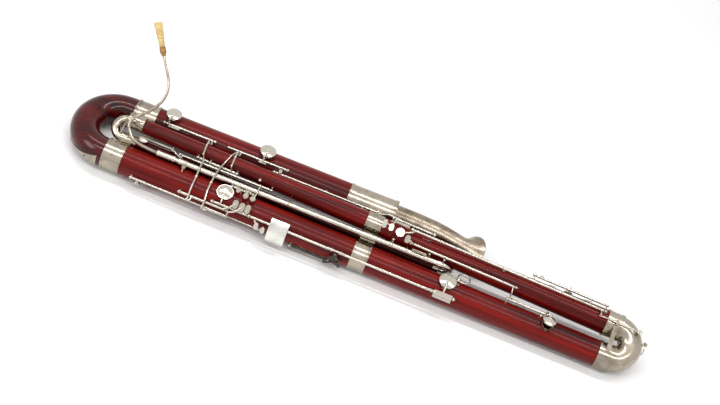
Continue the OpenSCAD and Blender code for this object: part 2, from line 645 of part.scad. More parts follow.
// posts on the second and first joints
module narrow_joint_posts() color([0.8, 0.77, 0.7]) {
    in_second() {
        for (g = second_lines) for (x = [g[0], g[1]]) post(x, g[2], g[3], second_r(x));
        // saddle that carries the long water-key rod
        difference() {
            union() {
                at_angle(307, 2) {
                    translate([0, 0, second_r(307) - 4]) cylinder(h = 8, r = 1.7);
                    translate([0, 0, second_r(307) - 0.8]) cylinder(h = 1.8, r = 3.1);
                }
                line_x(304.5, 309.5, 30.5, 2, 4.4);
            }
            line_x(300, 314, 30.5, 2, tube_r + fit);
        }
        // ears of the water key
        difference() {
            at_angle(556, 28) for (s = [-1, 1]) {
                translate([-2.6, s > 0 ? 3.2 : -5.2, 24]) cube([5.2, 2, 10]);
                translate([0, s > 0 ? 3.2 : -3.2, 33.5]) rotate([-90 * s, 0, 0]) cylinder(h = 2, r = 3.1);
            }
            along_x(540, 575, 27.2, 27.2);
        }
    }
    in_octave() {
        post(-389, 17.6, 2, 8.4);
        // ears of the octave lever
        for (s = [-1, 1]) {
            translate([-409.6, s > 0 ? 3.2 : -5.2, 4]) cube([5.2, 2, 16.6]);
            translate([-407, s > 0 ? 3.2 : -3.2, 20.6]) rotate([-90 * s, 0, 0]) cylinder(h = 2, r = 3.1);
        }
    }
    in_second() {
        post(-190, 26.2, 89.2, second_r(-190));
        post(-219, 22.3, 66, second_r(-219));
    }
}

module hinge_rods() color([0.6, 0.6, 0.62]) {
    in_bass() for (g = bass_lines) line_x(g[0], g[1], g[2], g[3], rod_r);
    in_third() for (g = third_lines) line_x(g[0] + 0.1, g[1] - 0.1, g[2], g[3], rod_r);
    in_second() {
        for (g = second_lines) line_x(g[0] + 0.1, g[1] - 0.1, g[2], g[3], rod_r);
        at_angle(556, 28) translate([0, 5.2, 33.5]) rotate([90, 0, 0]) cylinder(h = 10.4, r = rod_r);
    }
    in_octave() {
        for (g = octave_lines) line_x(g[0], g[1], g[2], g[3], rod_r);
        translate([-407, 5.2, 20.6]) rotate([90, 0, 0]) cylinder(h = 10.4, r = rod_r);
    }
}

module tone_rims() color([0.78, 0.75, 0.68]) {
    in_bass() rim_rings([for (i = [0 : 1]) bass_holes[i]], bass_r);
    in_bass() rim_rings([bass_holes[2]], 31);
    in_third() for (h = third_holes) rim_rings([h], third_r(h[0]));
    in_second() for (h = second_holes) rim_rings([h], second_r(h[0]));
    in_octave() rim_rings(first_holes, first_r);
}

// needle and flat springs
module key_springs() color([0.55, 0.53, 0.5]) {
    in_bass() for (s = [[-420, 43], [-205, 43]]) bar(pt(s[0], 30, s[1]), pt(s[0] + 26, 34.4, s[1] - 1), 0.6);
    in_third() for (s = [[-345, 76], [-285, 64], [-60, 64], [60, 64], [-96, 108], [352, -36]])
        bar(pt(s[0], third_r(s[0]) - 0.5, s[1]), pt(s[0] + 20, third_r(s[0]) + 2.4, s[1]), 0.6);
    in_second() for (s = [[130, 10], [200, 64], [100, -36], [400, -54], [480, -54]])
        bar(pt(s[0], second_r(s[0]) - 0.5, s[1]), pt(s[0] + 20, second_r(s[0]) + 2.6, s[1]), 0.6);
}

// keys of the bass joint
bass_key_c = [0.82, 0.8, 0.74];
module bass_key_upper() color(bass_key_c) in_bass() difference() {
    union() {
        key_tube(-446.6, -342.4, 37.5, 35);
        cup(-438.7, 0, 39.2, 16, 6, 0.6);
        arm([pt(-441, 37.5, 35), [-441, -21, 45.2], [-438.7, -9.6, 46.2], [-438.7, -2.6, 45.4]], 2, true);
        translate([-440, -29.5, 30.2]) cube([24, 8.5, 1.8]);
        translate([-349, -32.4, 28.6]) cube([7, 11, 2]);
    }
    key_bore(-446.6, -342.4, 37.5, 35);
}
module bass_pad_upper() color([0.9, 0.88, 0.8]) in_bass() pad(-438.7, 0, 38.1, 16);

module bass_key_lower() color(bass_key_c) in_bass() difference() {
    union() {
        key_tube(-304, -181.2, 37.5, 35);
        cup(-229.5, 0, 39.2, 17, 6, 0.6);
        arm([pt(-232, 37.5, 35), [-232, -22, 45.2], [-229.5, -10, 46.2], [-229.5, -2.6, 45.4]], 2, true);
        translate([-287, -32.4, 28.6]) cube([8, 11, 2]);
        translate([-240, -29.5, 30.2]) cube([16, 8.5, 1.8]);
    }
    key_bore(-304, -181.2, 37.5, 35);
}
module bass_pad_lower() color([0.9, 0.88, 0.8]) in_bass() pad(-229.5, 0, 38.1, 17);

module bass_link_key() color(bass_key_c) in_bass() difference() {
    union() {
        key_tube(-198.6, 33.6, 38.2, 54);
        cup(0, 92, 37.2, 12.4, 5);
        pad(0, 92, 36.5, 12.4);
        arm([pt(-6, 38.2, 54), pt(-6, 43, 66), pt(-3, 44.5, 82), pt(0, 42, 90)], 1.8);
        arm([pt(28, 38.2, 54), [28, -38, 33]], 1.6);
        translate([28, -38, 33]) sphere(r = 2.4);
        touch(-190, 48, 44, 7, 14);
        arm([pt(-190, 38.2, 54), pt(-190, 43.6, 50)], 1.6);
    }
    key_bore(-198.6, 33.6, 38.2, 54);
}

// octave key: a lever on a cross pin, lifted by a long rod on the first joint
module octave_lever() color(bass_key_c) in_octave() difference() {
    union() {
        cup(-469, 0, 17.9, 10.2, 5.4);
        translate([-469, -2.1, 21.2]) cube([59, 4.2, 2.8]);
        translate([-407, 2.7, 20.6]) rotate([90, 0, 0]) cylinder(h = 5.4, r = 2.8);
        translate([-412, -2.3, 20.2]) cube([8, 4.6, 3.2]);
        bar([-405, -1, 21.7], [-397, -3, 18.4], 1.7);
        bar([-397.7, -2.8, 18.8], [-387, -6.4, 13.2], 1.4);
        translate([-397.3, -2.9, 18.6]) sphere(r = 2.3);
    }
    translate([-407, 8, 20.6]) rotate([90, 0, 0]) cylinder(h = 16, r = bore_r);
}
module octave_pad() color([0.9, 0.88, 0.8]) in_octave() pad(-469, 0, 16.8, 10.2);

module octave_rod_key() color(bass_key_c) in_octave() difference() {
    union() {
        key_tube(-385.3, -194.3, 17.6, 2);
        arm([pt(-383.2, 17.6, 2), [-383.2, -6.4, 18.6]], 1.4);
        line_x(-389.5, -382, 19.7, 19, 1.4);
        arm([pt(-213, 17.6, 2), [-213, -10, 29], [-213, -30, 29.4], [-215, -42.4, 24.2]], 1.8);
        in_touch_rest() touch(-217, 1, 38.8, 11.5, 13);
    }
    key_bore(-385.3, -194.3, 17.6, 2);
}
// the thumb touch sits over the third joint, so it is drawn in that joint's frame
module in_touch_rest() translate([0, third_y - octave_y, third_z - octave_z])
    rotate([0, third_fall, -third_skew]) children();

// long levers from the bass joint over the second joint to the outer side of the third
module rocker_upper() color(bass_key_c) difference() {
    union() {
        in_second() key_tube(-350, -330.2, 22.5, 85);
        in_floor() {
            arm([[-340, -18.6, 68.6], [-345, -16, 82], [-346, 3, 90.5], [-346, 24, 86], [-345.5, 35, 67]], 1.9);
            translate([-345.5, 35, 65.9]) sphere(r = 2.4);
            arm([[-340, -18.6, 68.6], [-340, -26, 75.5], [-339, -52, 76.6], [-338, -72, 74], [-338, -89, 68],
                [-338, -105, 57], [-338, -110.5, 47.5]], 1.8);
            translate([-338, -71.7, 73.6]) sphere(r = 3.2);
        }
    }
    in_second() key_bore(-350, -330.2, 22.5, 85);
}

module rocker_lower() color(bass_key_c) difference() {
    union() {
        in_second() key_tube(-322.8, -271.6, 22.5, 85);
        in_floor() {
            arm([[-280, -20.2, 69.2], [-283, -18, 82], [-283, 0, 91], [-283, 23, 86.5], [-283, 35, 67]], 1.9);
            translate([-283, 35, 65.9]) sphere(r = 2.4);
            arm([[-283, 23, 86.5], [-292, 2, 88.2], [-299, -16, 79], [-303, -24, 72.6]], 1.5);
            arm([[-303, -19.6, 68.8], [-303, -26, 75.5], [-305, -52, 76.6], [-306, -72, 74], [-306, -89, 68.4],
                [-304, -107, 57], [-304, -113.4, 42]], 1.8);
            translate([-306, -71.7, 73.6]) sphere(r = 3.2);
        }
    }
    in_second() key_bore(-322.8, -271.6, 22.5, 85);
}

// thumb levers of the third joint that lift the two long levers
module thumb_lever_upper() color(bass_key_c) in_third() difference() {
    union() {
        key_tube(-354.5, -259.9, 36, 67.5);
        arm([pt(-332, 36, 67.5), [-332, -43, 11.4]], 1.6);
        line_x(-340.6, -331, 44.5, 75.1, 1.5);
        arm([pt(-262, 36, 67.5), [-262, -39.5, 23.5], [-252, -37, 31], [-243.6, -27, 33.6]], 1.7);
        touch(-243.6, 38, 40.6, 11.6, 19);
    }
    key_bore(-354.5, -259.9, 36, 67.5);
}

module thumb_lever_lower() color(bass_key_c) in_third() difference() {
    union() {
        key_tube(-309, -251.5, 35.2, 90, 3.6);
        arm([pt(-296, 35.2, 90), [-296, -45, 4.6]], 1.6);
        line_x(-306.6, -295, 45.24, 84.2, 1.5);
        arm([pt(-254, 35.2, 90), [-253, -42.8, 10], [-251.4, -42.4, 22], [-240, -41.4, 28.4],
            [-230.2, -28.4, 33]], 1.7, true);
        touch(-229.6, 39, 40.6, 11.6, 19);
    }
    key_bore(-309, -251.5, 35.2, 90, edge_bore);
}

// thin rod along the outer edge of the third joint, with a vent cup and a finger touch
module edge_key() color(bass_key_c) in_third() {
    line_x(-464, -172, 35.2, 90, edge_rod_r);
    line_x(-455, -312, 35.2, 90, 2.1);
    arm([pt(-447, 35.2, 90), pt(-447, 40.5, 98), pt(-447, 38.6, 110)], 1.5);
    cup(-447, 113, 34.4, 7.6, 4);
    pad(-447, 113, 33.7, 7.6);
    line_x(-181.5, -172, 35.2, 90, 2.4);
    arm([pt(-175, 35.2, 90), pt(-175, 42, 84), pt(-175, 43.6, 78)], 1.6);
    touch(-175, 76, 44, 8.5, 16);
}

// key over the third joint beside the thumb cluster
module third_key() color(bass_key_c) in_third() difference() {
    union() {
        key_tube(-286.4, -214.6, 35.8, 55.5);
        cup(-273, 11.5, 33.8, 17);
        arm([pt(-272, 35.8, 55.5), pt(-272, 40.2, 44), pt(-272.5, 40.8, 26), pt(-273, 39.4, 13)], 2);
        arm([pt(-217.7, 35.8, 55.5), pt(-217.7, 40.4, 45)], 1.7);
        touch(-217.2, 38, 40.6, 10.6, 19);
    }
    key_bore(-286.4, -214.6, 35.8, 55.5);
}
module third_pad() color([0.9, 0.88, 0.8]) in_third() pad(-273, 11.5, 32.7, 17);

module thumb_touch_inner() color(bass_key_c) in_third() difference() {
    union() {
        key_tube(-240.4, -224, 37, -22);
        translate([0, 0, 0]) arm([pt(-232, 37, -22), pt(-232, 39.4, -10), pt(-232, 39.4, -2)], 1.7);
        touch(-232, 1, 39.6, 10.6, 15);
        at_angle(-230, -22) translate([-8, -3.4, 38.9]) cube([13, 6.8, 1.6]);
    }
    key_bore(-240.4, -224, 37, -22);
}

module thumb_touch_outer() color(bass_key_c) in_third() difference() {
    union() {
        key_tube(-262.3, -248, 37, -22);
        arm([pt(-252, 37, -22), pt(-250.4, 39.6, -14)], 1.5);
        touch(-250, -8.6, 40.4, 9.2, 15);
        at_angle(-252, -23) translate([-6, -2.4, 38.6]) cube([8, 4.8, 1.7]);
    }
    key_bore(-262.3, -248, 37, -22);
}

// long key: two tubes joined by a bridge over the middle posts, then a wide barrel
module long_key() color(bass_key_c) in_third() difference() {
    union() {
        key_tube(-207.4, -36, 35.8, 55.5);
        key_tube(-10.3, 179.6, 35.8, 55.5);
        key_tube(187, 226.3, 35.8, 55.5, 4.6);
        arm([pt(-40, 35.8, 55.5), pt(-40, 43.4, 52), pt(-6, 43.4, 52), pt(-6, 35.8, 55.5)], 2);
        arm([pt(175, 35.8, 55.5), pt(175, 43.4, 52), pt(191, 43.4, 52), pt(191, 37.4, 54)], 1.9);
        at_angle(207, 50) translate([-19.3, -3.2, 39.1]) cube([38.6, 6.4, 1.8]);
        at_angle(207, 66) translate([-19.3, -4, 34.6]) cube([38.6, 6, 2.6]);
        cup(207, 4.4, 32.8, 18);
        arm([pt(206, 38, 52), pt(206, 41.2, 40), pt(206.5, 40.6, 22), pt(207, 38.4, 8)], 2.1);
        arm([pt(-200, 35.8, 55.5), pt(-196, 41.4, 60), pt(-191, 43.2, 68)], 1.7);
        touch(-190, 72, 43.2, 9, 17);
    }
    for (g = [[-207.4, -36], [-10.3, 179.6], [187, 226.3]]) line_x(g[0] - 3, g[1] + 3, 35.8, 55.5, bore_r);
    for (x = [-32.3, -14, 183.3]) at_angle(x, 55.5) translate([0, 0, 35.8]) sphere(r = ball_r + 0.3);
}
module long_pad() color([0.9, 0.88, 0.8]) in_third() pad(207, 4.4, 31.7, 18);

// small key on the lower flank, with a bent lever
module flank_key() color([0.35, 0.34, 0.33]) in_third() difference() {
    union() {
        key_tube(-111, -34.5, 33.5, 115);
        cup(-22, 88, 33, 11.4, 5);
        pad(-22, 88, 32.3, 11.4);
        arm([pt(-40, 33.5, 115), pt(-39, 40.5, 112), pt(-22.4, 39, 96)], 1.7);
        arm([pt(-23, 38.6, 92), pt(-14, 40.8, 96), pt(-9, 40.4, 98)], 1.4);
        touch(-8, 98, 40.4, 7, 12);
    }
    key_bore(-111, -34.5, 33.5, 115);
}

// right-thumb key across the top of the second joint
module right_thumb_key() color(bass_key_c) difference() {
    union() {
        in_second() {
            key_tube(64.4, 146.7, 29, -27);
            touch(48, 27, 34.6, 9, 19);
            touch(63, 30, 34.6, 10, 16);
            arm([pt(66.5, 29, -27), pt(66, 30.8, -8)], 1.8, true);
            bar(pt(66, 30.8, -8), pt(63.5, 33.8, 22), 1.7);
            bar(pt(61, 34.2, 25), pt(49, 34.2, 22), 1.2);
            at_angle(82, -8) translate([-18, -3, 27.4]) cube([34, 6, 1.8]);
            bar(pt(90, 29.8, -26), pt(90, 28.4, -12), 1.4);
            arm([pt(72, 29, -27), [72, 24, 17], [50, 31, 10]], 1.7, true);
            bar([50, 31, 10], [26.6, 29.6, -1.6], 1.7);
        }
    }
    in_second() key_bore(64.4, 146.7, 29, -27);
}

// rod key whose crank closes the open cup on the third joint
module second_low_key() color(bass_key_c) difference() {
    union() {
        in_second() {
            key_tube(114.6, 338.4, 29.3, 55);
            arm([pt(119, 29.3, 55), pt(115, 34.2, 52)], 1.7, true);
            bar(pt(115, 34.2, 52), pt(105, 35.2, 46), 1.6);
            touch(102.4, 45, 35.4, 10.5, 17);
        }
        in_floor() {
            arm([[335, -37.8, 77.4], [336.5, -48.5, 71.5], [337, -51, 63], [337, -53.4, 60.3]], 1.5, true);
            bar([337, -53.4, 60.3], [343.5, -53.5, 60.3], 1.5);
        }
    }
    in_second() key_bore(114.6, 338.4, 29.3, 55);
}

low_open = 22;
module low_rest() in_third() translate(pt(0, 36, -27)) rotate([-low_open, 0, 0])
    translate(-pt(0, 36, -27)) children();
module low_cup_key() color(bass_key_c) difference() {
    union() {
        low_rest() {
            cup(424, 11, 33.2, 14, 6);
            arm([pt(415, 36, -27), pt(416, 41.4, -18), pt(420, 41.6, -4), pt(424, 38.6, 8)], 2);
        }
        in_third() {
            key_tube(335.8, 423.2, 36, -27);
            arm([pt(346.5, 36, -27), [346.5, 22, 34.2]], 1.6);
            line_x(340, 346.5, 40.66, -32.75, 1.6);
        }
    }
    in_third() key_bore(335.8, 423.2, 36, -27);
    in_third() at_angle(332, -27) translate([0, 0, 36]) sphere(r = ball_r + 0.3);
}
module low_pad() color([0.9, 0.88, 0.8]) low_rest() pad(424, 11, 32.1, 14);

// long rod on the second joint that works the water key
module water_rod_key() color(bass_key_c) in_second() difference() {
    union() {
        key_tube(108.8, 523.4, 30.5, 2);
        arm([pt(112.6, 30.5, 2), [106, -10.4, 31.6], [93, -17.4, 31.3]], 1.7, true);
        bar([93, -17.4, 31.3], [84.4, -19.4, 29.3], 1.5);
        at_angle(83.4, 34) translate([0, 0, 33.8]) cylinder(h = 2.4, r = 9);
        bar([519, -1.5, 30.5], [518.9, -15.4, 33.4], 1.6);
        translate([519, -15.4, 33.5]) sphere(r = 2.1);

    }
    key_bore(108.8, 523.4, 30.5, 2);
}

module water_key() color(bass_key_c) in_second() at_angle(0, 28) difference() {
    union() {
        arm([[516, -0.5, 32.6], [530, 0, 33.6], [556, 0, 33.5], [590, 0, 34.6]], 1.5, true);
        bar([590, 0, 34.6], [605.4, 0, 32.7], 1.4);
        translate([556, 2.7, 33.5]) rotate([90, 0, 0]) cylinder(h = 5.4, r = 2.7);
        translate([606, 0, 29]) cylinder(h = 4, r = 5);
        translate([606, 0, 32]) cylinder(h = 3.7, r = 2.7);
    }
    translate([556, 8, 33.5]) rotate([90, 0, 0]) cylinder(h = 16, r = bore_r);
}

// key on the far side of the second joint
module far_key() color(bass_key_c) in_second() difference() {
    union() {
        key_tube(374.3, 525.4, 32, -45);
        cup(450, -92, 28.6, 10.8, 5);
        pad(450, -92, 27.9, 10.8);
        arm([pt(449, 32, -45), pt(449, 36.6, -56), pt(450, 36, -76), pt(450, 33, -90)], 1.7);
        arm([pt(384, 32, -45), pt(384, 37, -30), pt(384, 37.4, -20)], 1.6);
        touch(384, -17, 37.6, 8, 14);
    }
    key_bore(374.3, 525.4, 32, -45);
}

// loose ring on the end of the bottom bow
module bottom_ring() color([0.8, 0.77, 0.7]) in_floor() translate(foot_eye) translate([0, 0, -ring_r])
    rotate([0, 90, 0]) rotate_extrude() translate([ring_r, 0]) circle(r = 1.3);

bass_joint();
third_joint();
second_joint();
first_joint();
large_bow();
bow_guard();
body_screws();
bass_top_ferrule();
third_top_ferrule();
small_bow();
bow_brace();
bottom_bow();
bottom_brace();
bell_socket();
bell();
middle_bands();
tube_bridge();
slide_tube();
slide_inner();
slide_supports();
bocal();
reed_blades();
reed_binding();
hand_rest();
strap_eye();
strap_ring();
bass_posts();
third_posts();
narrow_joint_posts();
hinge_rods();
tone_rims();
key_springs();
bass_key_upper();
bass_pad_upper();
bass_key_lower();
bass_pad_lower();
bass_link_key();
octave_lever();
octave_pad();
octave_rod_key();
rocker_upper();
rocker_lower();
thumb_lever_upper();
thumb_lever_lower();
edge_key();
third_key();
third_pad();
thumb_touch_inner();
thumb_touch_outer();
long_key();
long_pad();
flank_key();
right_thumb_key();
second_low_key();
low_cup_key();
low_pad();
water_rod_key();
water_key();
far_key();
bottom_ring();
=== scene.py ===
import json
import math
import bmesh
import bpy
from mathutils import Matrix, Vector


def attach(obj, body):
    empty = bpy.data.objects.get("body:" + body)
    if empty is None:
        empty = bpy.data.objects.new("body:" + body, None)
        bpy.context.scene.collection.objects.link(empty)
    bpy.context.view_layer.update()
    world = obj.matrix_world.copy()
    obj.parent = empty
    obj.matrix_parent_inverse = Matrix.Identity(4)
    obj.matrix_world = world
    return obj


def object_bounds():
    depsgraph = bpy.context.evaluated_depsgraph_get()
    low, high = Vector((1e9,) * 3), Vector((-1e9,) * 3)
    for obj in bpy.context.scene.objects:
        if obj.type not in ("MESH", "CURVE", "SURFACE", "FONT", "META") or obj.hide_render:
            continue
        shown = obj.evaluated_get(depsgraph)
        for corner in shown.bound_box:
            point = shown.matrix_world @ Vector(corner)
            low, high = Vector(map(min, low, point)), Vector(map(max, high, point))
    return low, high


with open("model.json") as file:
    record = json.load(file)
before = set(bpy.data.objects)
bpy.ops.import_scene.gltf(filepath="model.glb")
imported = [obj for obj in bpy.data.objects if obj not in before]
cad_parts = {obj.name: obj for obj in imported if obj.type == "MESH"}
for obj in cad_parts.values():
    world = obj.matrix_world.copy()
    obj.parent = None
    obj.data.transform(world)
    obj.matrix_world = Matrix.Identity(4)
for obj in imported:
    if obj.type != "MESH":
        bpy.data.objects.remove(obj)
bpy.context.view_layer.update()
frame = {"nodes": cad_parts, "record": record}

scene = bpy.context.scene
nodes_by_name = frame["nodes"]

# camera: above the near side, rolled so that the instrument falls to the right
TURN = math.radians(21.5)
BACK = Vector((0, -0.682, 0.731)).normalized()
RISE = Vector((0, 0.731, 0.682)).normalized()
SIDE = Vector((1, 0, 0))
cam_right = SIDE * math.cos(TURN) + RISE * math.sin(TURN)
cam_up = -SIDE * math.sin(TURN) + RISE * math.cos(TURN)
cam_data = bpy.data.cameras.new("camera")
cam = bpy.data.objects.new("camera", cam_data)
scene.collection.objects.link(cam)
basis = Matrix((cam_right, cam_up, BACK)).transposed().to_4x4()
basis.translation = Vector((-0.0143, -1.8023, 2.0238))
cam.matrix_world = basis
cam_data.sensor_width = 36
cam_data.lens = 65.05
cam_data.clip_start = 0.05
cam_data.clip_end = 40
cam_data.dof.use_dof = False
scene.camera = cam
scene.view_settings.view_transform = "Standard"


# materials
def lin(r, g, b):
    def one(c):
        c = c / 255
        return c / 12.92 if c <= 0.04045 else ((c + 0.055) / 1.055) ** 2.4
    return (one(r), one(g), one(b), 1)


def new_material(name):
    m = bpy.data.materials.new(name)
    m.use_nodes = True
    t = m.node_tree
    b = t.nodes["Principled BSDF"]
    return m, t, b


def node(t, kind, **values):
    n = t.nodes.new(kind)
    for k, v in values.items():
        if k in n.inputs:
            n.inputs[k].default_value = v
        else:
            setattr(n, k, v)
    return n


def ramp(t, source, stops):
    r = t.nodes.new("ShaderNodeValToRGB")
    r.color_ramp.elements[0].position = stops[0][0]
    r.color_ramp.elements[0].color = stops[0][1]
    r.color_ramp.elements[1].position = stops[-1][0]
    r.color_ramp.elements[1].color = stops[-1][1]
    for p, c in stops[1:-1]:
        e = r.color_ramp.elements.new(p)
        e.color = c
    t.links.new(source, r.inputs["Fac"])
    return r.outputs["Color"]


def gray(v):
    return (v, v, v, 1)


def coords(t, scale=(1, 1, 1)):
    c = t.nodes.new("ShaderNodeTexCoord")
    m = t.nodes.new("ShaderNodeMapping")
    m.inputs["Scale"].default_value = scale
    t.links.new(c.outputs["Object"], m.inputs["Vector"])
    return m.outputs["Vector"]


def noise(t, scale, stretch=(1, 1, 1), detail=4, rough=0.55, distortion=0.0):
    n = t.nodes.new("ShaderNodeTexNoise")
    n.inputs["Scale"].default_value = scale
    n.inputs["Detail"].default_value = detail
    n.inputs["Roughness"].default_value = rough
    n.inputs["Distortion"].default_value = distortion
    t.links.new(coords(t, stretch), n.inputs["Vector"])
    return n.outputs["Fac"]


def mixed(t, fac, a, b, blend="MIX"):
    m = t.nodes.new("ShaderNodeMix")
    m.data_type = "RGBA"
    m.blend_type = blend
    if isinstance(fac, float):
        m.inputs["Factor"].default_value = fac
    else:
        t.links.new(fac, m.inputs["Factor"])
    for v, k in ((a, 6), (b, 7)):
        if isinstance(v, tuple):
            m.inputs[k].default_value = v
        else:
            t.links.new(v, m.inputs[k])
    return m.outputs[2]


def bump(t, b, height, strength, distance):
    n = t.nodes.new("ShaderNodeBump")
    n.inputs["Strength"].default_value = strength
    n.inputs["Distance"].default_value = distance
    t.links.new(height, n.inputs["Height"])
    t.links.new(n.outputs["Normal"], b.inputs["Normal"])


def stained_wood(name, light, dark, deep, coat=0.6, rough=(0.24, 0.4)):
    m, t, b = new_material(name)
    fine = noise(t, 60, (0.045, 1, 1), 6, 0.62, 0.4)
    broad = noise(t, 9, (0.12, 1, 1), 3, 0.5, 0.8)
    streak = noise(t, 190, (0.02, 1, 1), 3, 0.7)
    grain = ramp(t, fine, [(0.3, deep), (0.5, dark), (0.72, light)])
    cloud = ramp(t, broad, [(0.32, gray(0.62)), (0.7, gray(1.1))])
    base = mixed(t, 0.75, grain, cloud, "MULTIPLY")
    pores = ramp(t, streak, [(0.36, gray(0.45)), (0.5, gray(1))])
    base = mixed(t, 0.55, base, pores, "MULTIPLY")
    t.links.new(base, b.inputs["Base Color"])
    t.links.new(ramp(t, broad, [(0.3, gray(rough[1])), (0.75, gray(rough[0]))]), b.inputs["Roughness"])
    b.inputs["Coat Weight"].default_value = coat
    b.inputs["Coat Roughness"].default_value = 0.09
    b.inputs["Specular IOR Level"].default_value = 0.12
    bump(t, b, streak, 0.12, 0.0004)
    return m


def metal(name, bright, shade, stain, rough=(0.14, 0.34), stain_at=(0.56, 0.78), scale=22, relief=0.035):
    m, t, b = new_material(name)
    cloud = noise(t, scale, (1, 1, 1), 5, 0.6, 0.3)
    wear = noise(t, scale * 3.1, (0.6, 1, 1), 4, 0.6, 0.6)
    base = ramp(t, cloud, [(0.28, shade), (0.55, bright), (0.8, bright)])
    mask = ramp(t, wear, [(stain_at[0], gray(0)), (stain_at[1], gray(1))])
    base = mixed(t, mask, base, stain)
    t.links.new(base, b.inputs["Base Color"])
    b.inputs["Metallic"].default_value = 1
    t.links.new(ramp(t, wear, [(0.3, gray(rough[0])), (0.8, gray(rough[1]))]), b.inputs["Roughness"])
    height = noise(t, 300, (1, 1, 1), 3, 0.6)
    bump(t, b, height, relief, 0.0002)
    return m


def soft(name, light, dark, scale, rough=0.8, stretch=(1, 1, 1), depth=0.0004):
    m, t, b = new_material(name)
    n = noise(t, scale, stretch, 5, 0.6, 0.2)
    t.links.new(ramp(t, n, [(0.3, dark), (0.7, light)]), b.inputs["Base Color"])
    t.links.new(ramp(t, n, [(0.2, gray(min(1, rough + 0.1))), (0.8, gray(rough - 0.1))]), b.inputs["Roughness"])
    bump(t, b, n, 0.5, depth)
    return m


wood = stained_wood("stained_wood", lin(152, 24, 9), lin(106, 11, 7), lin(50, 4, 4),
                    0.14, (0.26, 0.42))
bow_wood = stained_wood("bow_wood", lin(110, 13, 10), lin(72, 7, 7), lin(38, 4, 5),
                        0.4, (0.14, 0.24))
# painted shade: a darker copy of the stained wood for the first joint, which lies in shadow under the tuning
# slide
painted_shade_wood = stained_wood("painted_shade_wood", lin(102, 15, 9), lin(64, 8, 5), lin(32, 3, 3),
                         0.14, (0.26, 0.42))
fitting = metal("fittings_metal", lin(174, 164, 149), lin(126, 116, 102), lin(84, 70, 56),
                (0.16, 0.3), (0.6, 0.85))
tarnished = metal("bell_metal", lin(160, 148, 132), lin(106, 94, 80), lin(78, 62, 50),
                  (0.2, 0.38), (0.48, 0.78), 16)
key = metal("key_metal", lin(202, 196, 184), lin(170, 163, 149), lin(126, 113, 95),
            (0.13, 0.2), (0.7, 0.95), 11, 0.02)
plate = metal("plate_metal", lin(228, 227, 221), lin(204, 201, 192), lin(160, 152, 138),
              (0.2, 0.34), (0.66, 0.92), 30)
steel = metal("steel", lin(128, 125, 121), lin(84, 81, 77), lin(64, 52, 42),
              (0.2, 0.42), (0.6, 0.85), 60)
darkened = metal("dark_metal", lin(84, 78, 72), lin(50, 46, 42), lin(38, 30, 24),
                 (0.22, 0.45), (0.55, 0.85), 60)
stay = metal("brass_stay", lin(166, 146, 104), lin(118, 98, 64), lin(74, 56, 38),
             (0.2, 0.4), (0.5, 0.8), 50)
pads = soft("pad_leather", lin(216, 202, 174), lin(176, 156, 122), 130)
cane = soft("reed_cane", lin(228, 206, 148), lin(188, 154, 86), 90, 0.5, (1, 1, 0.12), 0.0003)
thread = soft("reed_thread", lin(190, 148, 84), lin(122, 84, 40), 300, 0.75, (1, 1, 1), 0.0005)

FINISH = {
    "stained_wood": wood, "fittings_metal": fitting, "key_metal": key, "plate_metal": plate, "steel": steel,
    "dark_metal": darkened, "brass_stay": stay, "pad_leather": pads, "reed_cane": cane, "reed_thread": thread,
}
# the first joint takes the painted-shade copy of the stained wood
SPECIAL = {
    "large_bow": bow_wood, "first_joint": painted_shade_wood, "bell": tarnished, "bocal": fitting,
    "slide_tube": key, "slide_inner": key,
}
slot_of = {s["node"]: s["material_slot"] for s in frame["record"]["subparts"]}
for name, obj in nodes_by_name.items():
    mat = SPECIAL.get(name) or FINISH[slot_of[name]]
    for s in obj.material_slots:
        s.material = mat
    if not obj.material_slots:
        obj.data.materials.append(mat)

# details
def welded(name):
    """World points of a node and its loose pieces, as lists of points."""
    o = nodes_by_name[name]
    key_of = {}
    index = []
    points = []
    for v in o.data.vertices:
        w = o.matrix_world @ v.co
        k = (round(w.x, 6), round(w.y, 6), round(w.z, 6))
        if k not in key_of:
            key_of[k] = len(points)
            points.append(w)
        index.append(key_of[k])
    parent = list(range(len(points)))

    def root(a):
        while parent[a] != a:
            parent[a] = parent[parent[a]]
            a = parent[a]
        return a

    for e in o.data.edges:
        a, b = root(index[e.vertices[0]]), root(index[e.vertices[1]])
        if a != b:
            parent[a] = b
    groups = {}
    for k in range(len(points)):
        groups.setdefault(root(k), []).append(points[k])
    return list(groups.values())


def centre_of(pts):
    return sum(pts, Vector()) / len(pts)


def ends(pts, slab=0.0016):
    """Centre and radius of both ends of a piece that lies along X."""
    found = []
    for pick in (min, max):
        x = pick(p.x for p in pts)
        near = [p for p in pts if abs(p.x - x) < slab]
        c = Vector([(min(p[k] for p in near) + max(p[k] for p in near)) / 2 for k in range(3)])
        found.append((c, max((p - c).length for p in near)))
    return found


def frame_for(axis, side=None):
    z = axis.normalized()
    x = side or (Vector((0, 0, 1)) if abs(z.z) < 0.9 else Vector((1, 0, 0)))
    x = (x - z * x.dot(z)).normalized()
    return Matrix((x, z.cross(x), z)).transposed()


def add_ring(bm, at, turn, rx, ry, thick, around=72, section=10):
    rows = []
    for i in range(around):
        a = 2 * math.pi * i / around
        out = Vector((math.cos(a), math.sin(a), 0))
        base = Vector((rx * out.x, ry * out.y, 0))
        row = []
        for j in range(section):
            b = 2 * math.pi * j / section
            round_it = out * thick * math.cos(b) + Vector((0, 0, thick * math.sin(b)))
            row.append(bm.verts.new(at + turn @ (base + round_it)))
        rows.append(row)
    for i in range(around):
        for j in range(section):
            k, l = (i + 1) % around, (j + 1) % section
            bm.faces.new((rows[i][j], rows[k][j], rows[k][l], rows[i][l]))


